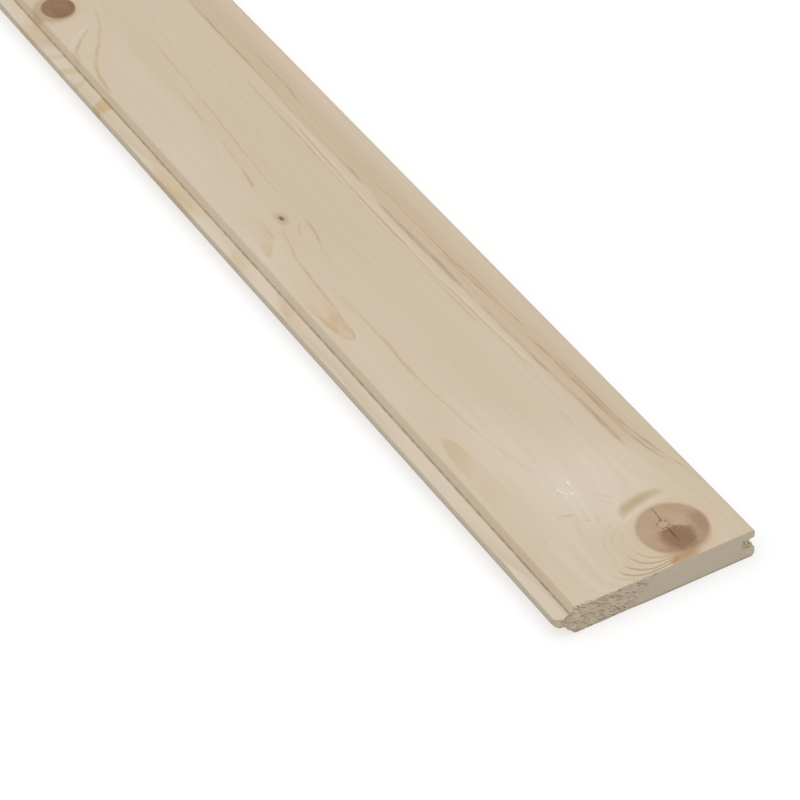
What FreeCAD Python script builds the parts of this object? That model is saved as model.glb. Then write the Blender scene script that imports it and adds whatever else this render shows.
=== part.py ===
import FreeCAD, Part

import math
import os

# Tongue and groove board: one length of softwood, planed on all four sides and moulded
# along both edges. The tongue is on the -X edge and the groove on the +X edge. Boards of
# the same moulding are laid side by side: the lower lip of one closes against the lower
# shoulder of the next, and the faces stay a little apart, as a shadow line.
# The board lies on its back. X runs across it, Y along it and Z up through its thickness.
# The origin is under the middle of the board, on the level of its back.

# Stock
board_length = 2400.0
board_thickness = 18.0
cover_width = 112.0  # one laid board takes up this much: lower shoulder to lower lip

# Tongue, which thins from its root to its rounded tip
face_to_tongue = 5.4
tongue_length = 7.0  # from the lower shoulder
tongue_root_thickness = 6.4
tongue_tip_thickness = 5.0
tongue_tip_round = 2.0
root_round = 0.4

# Upper shoulder, a slanted wall set back from the lower shoulder, with an eased edge
crease_setback = 2.4
upper_shoulder_slant = 20.5  # degrees off upright
tongue_side_face_round = 1.0

# Groove, with play for the next board's tongue
side_play = 0.2
tip_gap = 1.0
groove_bottom_round = 0.8
upper_mouth_round = 1.3
lower_mouth_round = 0.8

# Lips: the upper one stays short of the lower one
upper_lip_setback = 0.6
groove_side_face_round = 1.7
groove_side_back_round = 2.2

# Lower shoulder: a short upright land, then the bevel down to the back
lower_shoulder_land = 1.7
back_bevel_angle = 45.0
back_edge_round = 1.5

# Heights of the moulding, from the back up
tongue_top = board_thickness - face_to_tongue
tongue_root_bottom = tongue_top - tongue_root_thickness
tongue_tip_bottom = tongue_top - tongue_tip_thickness
tongue_slope = (tongue_tip_bottom - tongue_root_bottom) / tongue_length
groove_top = tongue_top + side_play
groove_mouth_bottom = tongue_root_bottom - side_play
groove_depth = tongue_length + tip_gap
groove_end_bottom = groove_mouth_bottom + tongue_slope * groove_depth
bevel_height = tongue_root_bottom - lower_shoulder_land

# Widths of the moulding, from the lower shoulder towards the groove
shoulder_run = face_to_tongue * math.tan(math.radians(upper_shoulder_slant))
face_start = crease_setback + shoulder_run
bevel_width = bevel_height / math.tan(math.radians(back_bevel_angle))
upper_lip_end = cover_width - upper_lip_setback
groove_end = cover_width - groove_depth
overall_width = tongue_length + cover_width


def unit(start, end):
    """Direction from one point of the outline to another."""
    return (end - start).normalize()


def rounded_outline(corners):
    """Closed wire through the corners (across, up, round), each with its own round.

    A corner with a round of zero stays sharp. The others get an arc that is tangent to
    the two sides that meet there.
    """
    points = [FreeCAD.Vector(across, 0, up) for across, up, _ in corners]
    rounds = [radius for _, _, radius in corners]
    spans = []
    for i, corner in enumerate(points):
        back = unit(corner, points[i - 1])
        on = unit(corner, points[(i + 1) % len(points)])
        inward = (back + on).normalize()
        half_angle = back.getAngle(on) / 2
        reach = rounds[i] / math.tan(half_angle)
        middle = corner + inward * (rounds[i] / math.sin(half_angle) - rounds[i])
        spans.append((corner + back * reach, middle, corner + on * reach))
    edges = []
    for i, (start, middle, end) in enumerate(spans):
        if rounds[i] > 0:
            edges.append(Part.Arc(start, middle, end).toShape())
        next_start = spans[(i + 1) % len(spans)][0]
        edges.append(Part.LineSegment(end, next_start).toShape())
    return Part.Wire(edges)


def board_outline():
    """Section of the board, seen from its near end, with the lower shoulder at zero."""
    tongue = [
        (0.0, tongue_root_bottom, root_round),
        (-tongue_length, tongue_tip_bottom, tongue_tip_round),
        (-tongue_length, tongue_top, tongue_tip_round),
        (crease_setback, tongue_top, root_round),
    ]
    face = [
        (face_start, board_thickness, tongue_side_face_round),
        (upper_lip_end, board_thickness, groove_side_face_round),
    ]
    groove = [
        (upper_lip_end, groove_top, upper_mouth_round),
        (groove_end, groove_top, groove_bottom_round),
        (groove_end, groove_end_bottom, groove_bottom_round),
        (cover_width, groove_mouth_bottom, lower_mouth_round),
    ]
    back = [
        (cover_width, 0.0, groove_side_back_round),
        (bevel_width, 0.0, back_edge_round),
        (0.0, bevel_height, 0.0),
    ]
    return rounded_outline(tongue + face + groove + back)


def board():
    """The moulded section run out to the board's length and centred on the origin."""
    section = Part.Face(board_outline())
    solid = section.extrude(FreeCAD.Vector(0, board_length, 0))
    solid.translate(FreeCAD.Vector(tongue_length - overall_width / 2, -board_length / 2, 0))
    return solid


os.makedirs("parts", exist_ok=True)
board().exportStep("parts/board.step")
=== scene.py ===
import math

import bmesh
import bpy
import numpy as np
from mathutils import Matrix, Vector
from mathutils.geometry import delaunay_2d_cdt


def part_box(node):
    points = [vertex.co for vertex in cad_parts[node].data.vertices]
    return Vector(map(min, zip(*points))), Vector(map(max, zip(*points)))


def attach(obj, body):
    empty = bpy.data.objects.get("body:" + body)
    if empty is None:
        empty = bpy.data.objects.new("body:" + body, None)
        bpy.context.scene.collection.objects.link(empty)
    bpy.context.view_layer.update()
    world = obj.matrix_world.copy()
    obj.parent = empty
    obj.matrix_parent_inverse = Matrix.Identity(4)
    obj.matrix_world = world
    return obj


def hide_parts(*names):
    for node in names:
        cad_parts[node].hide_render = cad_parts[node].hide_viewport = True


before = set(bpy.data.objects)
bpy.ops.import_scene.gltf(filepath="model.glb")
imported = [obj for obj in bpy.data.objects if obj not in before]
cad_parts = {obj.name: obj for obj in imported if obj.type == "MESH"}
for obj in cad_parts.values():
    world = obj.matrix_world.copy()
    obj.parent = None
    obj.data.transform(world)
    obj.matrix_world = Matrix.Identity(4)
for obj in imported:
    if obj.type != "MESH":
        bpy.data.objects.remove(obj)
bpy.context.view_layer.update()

# The stock: one length of spruce, sawn from beside the heart of the log, so its growth
# rings run along it and lie flat under the tongue side. Everything that the planer and
# the saw lay bare is drawn from this one solid pattern of rings.
millimetre = 0.001
board_low, board_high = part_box("board")
board_length = (board_high.y - board_low.y) / millimetre
board_thickness = (board_high.z - board_low.z) / millimetre
heart_across = -40.0
heart_below_face = 108.0
heart_up = board_thickness - heart_below_face
ring_spacing = 2.3


def put(tree, kind, values=None, **settings):
    """Adds one node. A value that is a socket is linked, and any other is set."""
    item = tree.nodes.new(kind)
    for name, setting in settings.items():
        setattr(item, name, setting)
    for name, value in (values or {}).items():
        if isinstance(value, bpy.types.NodeSocket):
            tree.links.new(value, item.inputs[name])
        else:
            item.inputs[name].default_value = value
    return item


def work_out(tree, operation, *terms):
    """One step of arithmetic on sockets or numbers."""
    return put(tree, "ShaderNodeMath", dict(enumerate(terms)), operation=operation).outputs[0]


def ease(tree, value, low, high, start=0.0, end=1.0, kind="SMOOTHSTEP"):
    """Runs from start to end as value goes from low to high."""
    limits = {"Value": value, "From Min": low, "From Max": high, "To Min": start, "To Max": end}
    return put(tree, "ShaderNodeMapRange", limits, interpolation_type=kind, clamp=False).outputs[0]


def stain(tree, colour, amount, shade, blend="MULTIPLY"):
    """Lays a shade over a colour, by an amount that may change over the surface."""
    values = {0: amount, 6: colour, 7: shade if not isinstance(shade, tuple) else (*shade, 1.0)}
    return put(tree, "ShaderNodeMix", values, data_type="RGBA", blend_type=blend).outputs[2]


def grain_noise(tree, point, across, along, up, detail=2.0, roughness=0.5):
    """Noise whose grains have the given sizes in millimetres, from 0 to 1."""
    size = (1.0 / across, 1.0 / along, 1.0 / up)
    place = put(tree, "ShaderNodeMapping", {"Vector": point, "Scale": size}, vector_type="POINT")
    values = {"Vector": place.outputs[0], "Scale": 1.0, "Detail": detail, "Roughness": roughness}
    return put(tree, "ShaderNodeTexNoise", values, noise_dimensions="3D").outputs["Fac"]


def slow_noise(tree, along, length, start):
    """Noise along the board alone, from 0 to 1."""
    place = work_out(tree, "MULTIPLY_ADD", along, 1.0 / length, start)
    values = {"W": place, "Scale": 1.0, "Detail": 1.0}
    return put(tree, "ShaderNodeTexNoise", values, noise_dimensions="1D").outputs["Fac"]


def new_group(name, inputs, outputs):
    """An empty shader group with these sockets, and its two end nodes."""
    tree = bpy.data.node_groups.new(name, "ShaderNodeTree")
    for title, kind in inputs.items():
        tree.interface.new_socket(title, in_out="INPUT", socket_type="NodeSocket" + kind)
    for title, kind in outputs.items():
        tree.interface.new_socket(title, in_out="OUTPUT", socket_type="NodeSocket" + kind)
    return tree, tree.nodes.new("NodeGroupInput").outputs, tree.nodes.new("NodeGroupOutput").inputs


def board_point(tree):
    """Place in the wood in millimetres: across, along from the near end, and up."""
    seat = put(tree, "ShaderNodeTexCoord").outputs["Object"]
    shift = (0.0, board_length / 2, 0.0)
    scale = (1 / millimetre,) * 3
    return put(tree, "ShaderNodeMapping", {"Vector": seat, "Location": shift, "Scale": scale}).outputs[0]


growth_rings, g_in, g_out = new_group(
    "growth_rings", {"Point": "Vector"}, {"Latewood": "Float", "Ring": "Float"}
)
place = put(growth_rings, "ShaderNodeSeparateXYZ", {0: g_in["Point"]}).outputs
sway = ease(growth_rings, slow_noise(growth_rings, place[1], 420.0, 3.7), 0.0, 1.0, -14.0, 14.0, "LINEAR")
dip = ease(growth_rings, slow_noise(growth_rings, place[1], 260.0, 11.2), 0.0, 1.0, -5.0, 5.0, "LINEAR")
side = work_out(growth_rings, "SUBTRACT", work_out(growth_rings, "SUBTRACT", place[0], heart_across), sway)
rise = work_out(growth_rings, "SUBTRACT", work_out(growth_rings, "SUBTRACT", place[2], heart_up), dip)
radius = work_out(growth_rings, "SQRT", work_out(
    growth_rings, "MULTIPLY_ADD", side, side, work_out(growth_rings, "MULTIPLY", rise, rise)))
wander = grain_noise(growth_rings, g_in["Point"], 28.0, 190.0, 28.0)
flutter = grain_noise(growth_rings, g_in["Point"], 6.0, 60.0, 6.0)
radius = work_out(growth_rings, "MULTIPLY_ADD", wander, 2.6, radius)
radius = work_out(growth_rings, "MULTIPLY_ADD", flutter, 0.5, radius)
count = work_out(growth_rings, "DIVIDE", radius, ring_spacing)
share = work_out(growth_rings, "FRACT", count)
year = put(growth_rings, "ShaderNodeTexWhiteNoise", {"W": work_out(growth_rings, "FLOOR", count)},
           noise_dimensions="1D").outputs["Value"]
summer = work_out(growth_rings, "MULTIPLY", ease(growth_rings, share, 0.35, 0.9),
                  ease(growth_rings, share, 1.0, 0.9))
growth_rings.links.new(
    work_out(growth_rings, "MULTIPLY", summer, ease(growth_rings, year, 0.0, 1.0, 0.3, 1.0, "LINEAR")),
    g_out["Latewood"])
growth_rings.links.new(count, g_out["Ring"])

# The knots: branches that start at the heart and widen towards the face, so each shows
# again on the back, smaller. They are hard brown wood with rings of their own, and the
# board's grain runs round them.
knot_inputs = {
    "Point": "Vector", "Wood": "Color", "Across": "Float", "Along": "Float", "Radius": "Float",
    "Stretch": "Float", "Heart across": "Float", "Heart along": "Float", "Rings": "Float",
    "Light": "Color", "Dark": "Color", "Patch": "Float", "Check": "Float", "Core": "Float", "Seed": "Float",
    "Soft edge": "Float",
}
knot, k_in, k_out = new_group("knot", knot_inputs, {
    "Colour": "Color", "Inside": "Float", "Side": "Float", "Length": "Float", "Reach": "Float"})
place = put(knot, "ShaderNodeSeparateXYZ", {0: k_in["Point"]}).outputs
taper = work_out(knot, "DIVIDE", work_out(knot, "SUBTRACT", place[2], heart_up), heart_below_face)
middle = work_out(knot, "MULTIPLY_ADD", work_out(knot, "SUBTRACT", k_in["Across"], heart_across),
                  taper, heart_across)
size = work_out(knot, "MULTIPLY", k_in["Radius"], taper)
side = work_out(knot, "DIVIDE", work_out(knot, "SUBTRACT", place[0], middle), size)
run = work_out(knot, "DIVIDE", work_out(knot, "SUBTRACT", place[1], k_in["Along"]),
               work_out(knot, "MULTIPLY", size, k_in["Stretch"]))
flat = put(knot, "ShaderNodeCombineXYZ", {0: side, 1: run, 2: k_in["Seed"]}).outputs[0]
lumps = put(knot, "ShaderNodeTexNoise", {"Vector": flat, "Scale": 1.6, "Detail": 2.0}).outputs["Fac"]
fine = put(knot, "ShaderNodeTexNoise", {"Vector": flat, "Scale": 7.0, "Detail": 3.0}).outputs["Fac"]
crumbs = put(knot, "ShaderNodeTexNoise", {"Vector": flat, "Scale": 16.0, "Detail": 2.0}).outputs["Fac"]
reach = work_out(knot, "SQRT", work_out(knot, "MULTIPLY_ADD", side, side, work_out(knot, "MULTIPLY", run, run)))
reach = work_out(knot, "ADD", reach, ease(knot, lumps, 0.2, 0.8, -0.022, 0.022, "LINEAR"))
near_soft = work_out(knot, "ADD", ease(knot, run, -0.5, -0.95, 0.0, 0.10), k_in["Soft edge"])
inside = ease(knot, reach, work_out(knot, "ADD", near_soft, 1.06), work_out(knot, "SUBTRACT", 0.91, near_soft))
heart_side = work_out(knot, "SUBTRACT", side, k_in["Heart across"])
heart_run = work_out(knot, "SUBTRACT", run, k_in["Heart along"])
own = work_out(knot, "SQRT", work_out(knot, "MULTIPLY_ADD", heart_side, heart_side,
                                      work_out(knot, "MULTIPLY", heart_run, heart_run)))
own = work_out(knot, "MULTIPLY_ADD", fine, 0.06, own)
bands = work_out(knot, "FRACT", work_out(knot, "MULTIPLY", own, k_in["Rings"]))
bands = work_out(knot, "MULTIPLY", ease(knot, bands, 0.2, 0.85), ease(knot, bands, 1.0, 0.85))
clouds = ease(knot, lumps, 0.35, 0.65)
body = stain(knot, k_in["Light"], work_out(knot, "MULTIPLY", clouds, 0.14), k_in["Dark"], "MIX")
near_rim = work_out(knot, "MULTIPLY", ease(knot, run, 0.0, -0.95), ease(knot, reach, 0.45, 0.95, 0.0, 0.42))
body = stain(knot, body, near_rim, k_in["Dark"], "MIX")
groove_rim = work_out(knot, "MULTIPLY", ease(knot, side, 0.35, 0.72, 0.0, 0.5), ease(knot, work_out(
    knot, "ABSOLUTE", work_out(knot, "ADD", run, 0.12)), 0.66, 0.12))
body = stain(knot, body, groove_rim, k_in["Dark"], "MIX")
body = stain(knot, body, work_out(knot, "MULTIPLY", bands, ease(knot, own, 0.12, 0.45, 0.34, 0.05)),
             k_in["Dark"], "MIX")
body = stain(knot, body, ease(knot, fine, 0.35, 0.75, 0.0, 0.3), (0.92, 0.89, 0.86))

# The dark heart lies towards the near side and stops short of the pith in a ragged line.
# On the groove side its edge breaks up into ripples, where the planer tore its rings.
patch_side = work_out(knot, "MULTIPLY", work_out(knot, "ADD", side, 0.03), 1.8)
patch_run = work_out(knot, "MULTIPLY", work_out(knot, "ADD", run, 0.29), 1.5)
patch = work_out(knot, "SQRT", work_out(knot, "MULTIPLY_ADD", patch_side, patch_side,
                                        work_out(knot, "MULTIPLY", patch_run, patch_run)))
patch = work_out(knot, "ADD", patch, ease(knot, fine, 0.3, 0.7, -0.09, 0.09, "LINEAR"))
ragged = work_out(knot, "ADD", run, ease(knot, fine, 0.3, 0.7, -0.07, 0.07, "LINEAR"))
ragged = work_out(knot, "ADD", ragged, ease(knot, side, 0.05, 0.35, 0.0, 0.12))
patch = work_out(knot, "MULTIPLY", ease(knot, patch, 1.1, 0.6), ease(knot, ragged, 0.11, 0.03))
deep = work_out(knot, "MULTIPLY", patch, ease(knot, lumps, 0.62, 0.35, 0.85, 1.0))
body = stain(knot, body, work_out(knot, "MULTIPLY", deep, k_in["Patch"]), k_in["Dark"], "MIX")
core_reach = work_out(knot, "ADD", reach, ease(knot, crumbs, 0.3, 0.7, -0.14, 0.14, "LINEAR"))
body = stain(knot, body, work_out(knot, "MULTIPLY", ease(knot, core_reach, 0.6, 0.12), k_in["Core"]),
             (0.26, 0.19, 0.14))
rippled = work_out(knot, "MULTIPLY", ease(knot, heart_side, 0.16, 0.3), ease(knot, heart_side, 0.85, 0.6))
rippled = work_out(knot, "MULTIPLY", rippled, ease(knot, work_out(
    knot, "ABSOLUTE", work_out(knot, "ADD", heart_run, 0.16)), 0.34, 0.16))
rippled = work_out(knot, "MULTIPLY", rippled, ease(knot, crumbs, 0.42, 0.56))
rippled = work_out(knot, "MULTIPLY", work_out(knot, "MULTIPLY", rippled, bands), k_in["Patch"])
body = stain(knot, body, work_out(knot, "MULTIPLY", rippled, 0.65), (0.56, 0.44, 0.32), "MIX")
by_pith = work_out(knot, "ADD", own, ease(knot, crumbs, 0.3, 0.7, -0.045, 0.045, "LINEAR"))
pith = work_out(knot, "MULTIPLY", ease(knot, by_pith, 0.17, 0.12, 0.0, 0.32), k_in["Patch"])
body = stain(knot, body, pith, (0.56, 0.45, 0.33), "MIX")
pith_ring = work_out(knot, "MULTIPLY", ease(knot, by_pith, 0.14, 0.18), ease(knot, by_pith, 0.25, 0.19))
pith_ring = work_out(knot, "MULTIPLY", pith_ring, ease(knot, fine, 0.40, 0.58))
body = stain(knot, body, work_out(knot, "MULTIPLY", pith_ring, k_in["Patch"]), (0.56, 0.46, 0.37))

# Its places are in shares of the knot's radius, from the pith.
check_start, check_gap, check_end = -1.0, 0.14, 0.64
check_aside, check_jog, check_slant = 0.014, 0.028, 0.036
jog = work_out(knot, "ADD", ease(knot, heart_run, -check_gap, check_gap, check_aside, check_aside + check_jog),
               ease(knot, heart_run, check_gap, check_end, 0.0, check_slant))
crack = work_out(knot, "ABSOLUTE", work_out(knot, "SUBTRACT", heart_side, jog))
crack = work_out(knot, "MULTIPLY", crack, size)
from_pith = work_out(knot, "ABSOLUTE", heart_run)
crack_width = ease(knot, from_pith, check_gap, -check_start, 0.30, 0.10, "LINEAR")
crack = ease(knot, work_out(knot, "SUBTRACT", crack, crack_width), 0.10, -0.10)
crack = work_out(knot, "MULTIPLY", crack, ease(knot, heart_run, check_start - 0.05, check_start + 0.45))
crack = work_out(knot, "MULTIPLY", crack, ease(knot, heart_run, check_end + 0.04, check_end - 0.04))
crack = work_out(knot, "MULTIPLY", crack, ease(knot, from_pith, check_gap - 0.02, check_gap + 0.02))
body = stain(knot, body, work_out(knot, "MULTIPLY", crack, k_in["Check"]), (0.17, 0.11, 0.08))
edge = work_out(knot, "MULTIPLY", ease(knot, reach, 0.86, 0.99), ease(knot, reach, 1.08, 0.99))
halo = work_out(knot, "MULTIPLY", ease(knot, reach, 0.98, 1.06), ease(knot, reach, 1.5, 1.06))
wood = stain(knot, k_in["Wood"], work_out(knot, "MULTIPLY", halo, 0.6), (1.0, 0.94, 0.885))
whole = stain(knot, wood, inside, body, "MIX")
whole = stain(knot, whole, work_out(knot, "MULTIPLY", edge, 0.16), (0.86, 0.78, 0.70))
knot.links.new(whole, k_out["Colour"])
knot.links.new(inside, k_out["Inside"])
knot.links.new(side, k_out["Side"])
knot.links.new(run, k_out["Length"])
knot.links.new(reach, k_out["Reach"])

grain_round_knot, r_in, r_out = new_group(
    "grain_round_knot",
    {"Point": "Vector", "Across": "Float", "Along": "Float", "Radius": "Float"},
    {"Point": "Vector"},
)
place = put(grain_round_knot, "ShaderNodeSeparateXYZ", {0: r_in["Point"]}).outputs
side = work_out(grain_round_knot, "SUBTRACT", place[0], r_in["Across"])
run = work_out(grain_round_knot, "MULTIPLY", work_out(grain_round_knot, "SUBTRACT", place[1], r_in["Along"]), 0.62)
square = work_out(grain_round_knot, "MULTIPLY_ADD", side, side, work_out(grain_round_knot, "MULTIPLY", run, run))
size = work_out(grain_round_knot, "MULTIPLY", r_in["Radius"], r_in["Radius"])
press = work_out(grain_round_knot, "DIVIDE", size, work_out(grain_round_knot, "MAXIMUM", square, size))
across = work_out(grain_round_knot, "SUBTRACT", place[0], work_out(grain_round_knot, "MULTIPLY", side, press))
bent = put(grain_round_knot, "ShaderNodeCombineXYZ", {0: across, 1: place[1], 2: place[2]}).outputs[0]
grain_round_knot.links.new(bent, r_out["Point"])

pale_knot = (0.475, 0.338, 0.220, 1.0)
brown_knot = (0.250, 0.138, 0.074, 1.0)
red_knot = (0.20, 0.095, 0.05, 1.0)
knots = {
    "end knot": {"Across": 24.0, "Along": 22.2, "Radius": 19.2, "Stretch": 0.975, "Heart across": -0.12,
                 "Heart along": 0.26, "Rings": 13.0, "Light": pale_knot, "Dark": brown_knot, "Patch": 1.0,
                 "Check": 1.0, "Core": 0.0, "Seed": 1.0},
    "pin knot": {"Across": -20.5, "Along": 339.0, "Radius": 3.3, "Stretch": 1.8, "Heart across": 0.0,
                 "Heart along": 0.0, "Rings": 1.0, "Light": (0.54, 0.435, 0.315, 1.0), "Dark": (0.46, 0.36, 0.25, 1.0),
                 "Patch": 0.0, "Check": 0.0, "Core": 0.95, "Seed": 4.0, "Soft edge": 0.24},
    "second knot's bark": {"Across": -37.6, "Along": 582.5, "Radius": 13.0, "Stretch": 1.0, "Heart across": 0.1,
                           "Heart along": 0.1, "Rings": 3.0, "Light": (0.50, 0.385, 0.265, 1.0),
                           "Dark": (0.42, 0.315, 0.21, 1.0), "Patch": 0.0, "Check": 0.0, "Core": 0.0,
                           "Seed": 9.0, "Soft edge": 0.06},
    "second knot": {"Across": -34.8, "Along": 582.5, "Radius": 10.2, "Stretch": 1.08, "Heart across": -0.1,
                    "Heart along": 0.1, "Rings": 5.0, "Light": (0.29, 0.17, 0.09, 1.0), "Dark": red_knot,
                    "Patch": 0.45, "Check": 0.0, "Core": 0.0, "Seed": 7.0},
    "third knot": {"Across": 12.0, "Along": 1015.0, "Radius": 11.0, "Stretch": 1.15, "Heart across": 0.1,
                   "Heart along": -0.2, "Rings": 6.0, "Light": pale_knot, "Dark": brown_knot, "Patch": 0.6,
                   "Check": 0.6, "Core": 0.0, "Seed": 12.0},
    "fourth knot": {"Across": -22.0, "Along": 1490.0, "Radius": 15.0, "Stretch": 1.1, "Heart across": 0.15,
                    "Heart along": 0.1, "Rings": 7.0, "Light": pale_knot, "Dark": brown_knot, "Patch": 0.8,
                    "Check": 0.8, "Core": 0.0, "Seed": 17.0},
    "fifth knot": {"Across": 33.0, "Along": 1930.0, "Radius": 7.5, "Stretch": 1.2, "Heart across": -0.1,
                   "Heart along": 0.2, "Rings": 4.0, "Light": (0.32, 0.19, 0.11, 1.0), "Dark": red_knot,
                   "Patch": 0.2, "Check": 0.0, "Core": 0.0, "Seed": 23.0},
}


def bend_grain(tree, point):
    """The point that the grain would have had if it hadn't run round the knots."""
    for facts in knots.values():
        values = {name: facts[name] for name in ("Across", "Along", "Radius")}
        point = put(tree, "ShaderNodeGroup", {"Point": point, **values}, node_tree=grain_round_knot).outputs[0]
    return point


def lay_knots(tree, point, colour):
    """The wood's colour with every knot in it, and the end knot's own sockets."""
    cores = []
    for facts in knots.values():
        core = put(tree, "ShaderNodeGroup", {"Point": point, "Wood": colour, **facts}, node_tree=knot)
        colour = core.outputs["Colour"]
        cores.append(core.outputs)
    return colour, cores[0]


# The marks on the face: darker summer wood that the planer cut at a slant, as long thin
# lines, flames and streaks. Each follows its own route through the board, given as
# (along, across, half its width, strength), in millimetres and from the near end.
grain_mark, m_in, m_out = new_group(
    "grain_mark",
    {"Across": "Float", "Route": "Color", "Low": "Float", "Span": "Float", "Widest": "Float",
     "Soft above": "Float", "Soft below": "Float"},
    {"Mask": "Float"},
)
route = put(grain_mark, "ShaderNodeSeparateColor", {0: m_in["Route"]}).outputs
middle = work_out(grain_mark, "MULTIPLY_ADD", route[0], m_in["Span"], m_in["Low"])
half = work_out(grain_mark, "MAXIMUM", work_out(grain_mark, "MULTIPLY", route[1], m_in["Widest"]), 0.01)
off = work_out(grain_mark, "DIVIDE", work_out(grain_mark, "SUBTRACT", m_in["Across"], middle), half)
above = ease(grain_mark, off, 1.0, work_out(grain_mark, "SUBTRACT", 1.0, m_in["Soft above"]))
below = ease(grain_mark, off, -1.0, work_out(grain_mark, "SUBTRACT", m_in["Soft below"], 1.0))
grain_mark.links.new(work_out(grain_mark, "MULTIPLY", work_out(grain_mark, "MULTIPLY", above, below), route[2]),
                     m_out["Mask"])


planer_smear = 0.28  # millimetres by which each mark runs out on both sides


def set_curve(curve, places):
    """Gives one curve of a curve node these places, from 0 to 1."""
    curve.points[0].location = places[0]
    curve.points[-1].location = places[-1]
    for spot in places[1:-1]:
        curve.points.new(*spot)
    for spot in curve.points:
        spot.handle_type = "AUTO_CLAMPED"


def mark(tree, along, across, steps, soft=(0.9, 0.9)):
    """How much of one mark covers the point. steps are its route, in order."""
    start, end = steps[0][0], steps[-1][0]
    low = min(step[1] for step in steps)
    span = max(max(step[1] for step in steps) - low, 1.0)
    widest = max(step[2] for step in steps)
    half_width = widest + planer_smear
    part = ease(tree, along, start, end, kind="LINEAR")
    threefold = put(tree, "ShaderNodeCombineColor", {0: part, 1: part, 2: part}).outputs[0]
    path = put(tree, "ShaderNodeRGBCurve", {"Color": threefold})
    curves = path.mapping.curves
    path.mapping.extend = "HORIZONTAL"
    where = [(step[0] - start) / (end - start) for step in steps]
    set_curve(curves[0], [(w, (step[1] - low) / span) for w, step in zip(where, steps)])
    set_curve(curves[1], [(w, step[2] / widest) for w, step in zip(where, steps)])
    fade = 0.012
    strengths = [(w, step[3]) for w, step in zip(where[1:-1], steps[1:-1])]
    strengths = [(0.0, 0.0), (fade, steps[0][3]), *strengths, (1.0 - fade, steps[-1][3]), (1.0, 0.0)]
    set_curve(curves[2], strengths)
    path.mapping.update()
    values = {"Across": across, "Route": path.outputs[0], "Low": low, "Span": span, "Widest": half_width,
              "Soft above": soft[0], "Soft below": soft[1]}
    return put(tree, "ShaderNodeGroup", values, node_tree=grain_mark).outputs[0]


red_band = (0.935, 0.89, 0.84)
summer_line = (0.76, 0.68, 0.60)
soft_line = (0.87, 0.81, 0.745)
arc_line = (0.75, 0.65, 0.52)
far_arc = (0.72, 0.64, 0.50)
swirl = (0.955, 0.935, 0.885)
olive_line = (0.87, 0.80, 0.68)
flame_orange = (0.91, 0.80, 0.62)
flame_olive = (0.925, 0.87, 0.76)
pale_line = (1.06, 1.075, 1.10)
pale_field = (1.08, 1.12, 1.205)
bark_orange = (0.77, 0.59, 0.44)

even_face_marks = [
    (pale_field, (0.95, 0.95), [(18, 0, 26, 0), (48, 2, 44, 0.8), (75, 3, 52, 1), (100, -6, 46, 0.8),
                                (135, -18, 34, 0.45), (190, -26, 26, 0)]),
    (pale_field, (0.9, 0.9), [(0, -30, 24, 0.4), (30, -28, 24, 0.4), (60, -28, 24, 0)]),
    (pale_field, (0.9, 0.9), [(48, -9, 10, 0), (62, -8, 14, 0.3), (75, -8, 15, 0.35), (88, -8, 13, 0.2), (102, -9, 9, 0)]),
    (pale_field, (0.9, 0.9), [(140, -42, 16, 0), (180, -40, 18, 0.4), (260, -40, 18, 0.4), (420, -36, 22, 0.25),
                              (560, -34, 22, 0.2), (640, -34, 20, 0)]),
    (red_band, (0.9, 0.4), [(55, 56, 3, 0), (80, 50, 7, 0.4), (115, 45, 10.5, 0.7), (200, 43.5, 11.5, 0.95),
                            (400, 43, 11.5, 1), (560, 43.5, 11, 1), (700, 45, 10.5, 0.9), (1100, 48, 10, 0)]),
]
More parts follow.
